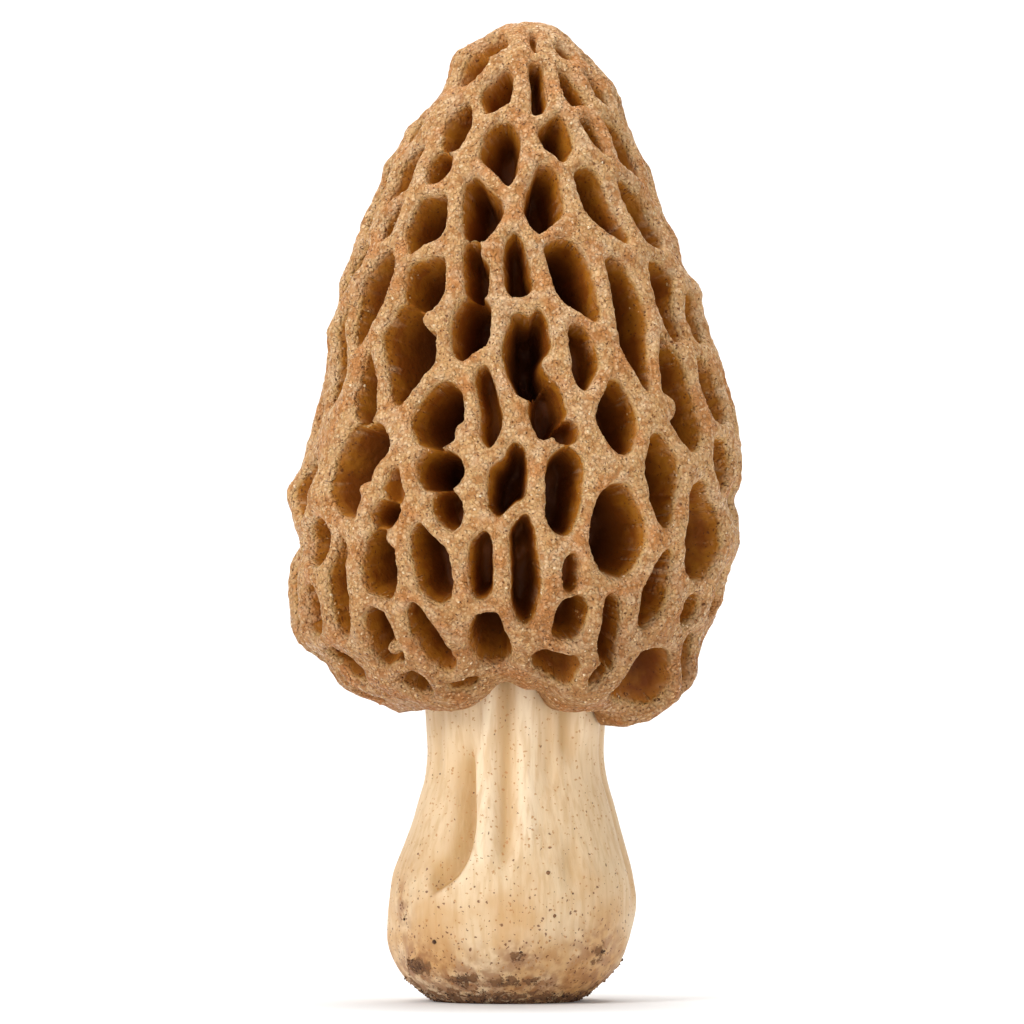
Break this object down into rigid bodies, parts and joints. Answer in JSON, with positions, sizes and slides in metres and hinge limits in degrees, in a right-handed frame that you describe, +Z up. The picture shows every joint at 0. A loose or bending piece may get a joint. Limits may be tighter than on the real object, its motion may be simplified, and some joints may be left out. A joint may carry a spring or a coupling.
{
  "type": "morel mushroom",
  "caption": "Morel mushroom standing on its foot: a tall conical cap with a raised net of ridges and deep pits, on a cream fluted stem.",
  "frame": {"origin": "middle of the flat spot under the foot, on the surface that the mushroom stands on", "axes": "+Z up along the stem to the tip of the cap, -Y towards the front that the picture shows, +X to its right"},
  "size_m": [0.0502, 0.0471, 0.1078],
  "materials": {
    "cap_flesh": "tan brown fungus flesh, grainy on the ridges, darker and smoother in the pits",
    "stem_flesh": "cream fungus flesh, softly fluted, with earth stains on the foot"
  },
  "bodies": {
    "root": {"cap": "cap_flesh", "stem": "stem_flesh"}
  },
  "joints": []
}
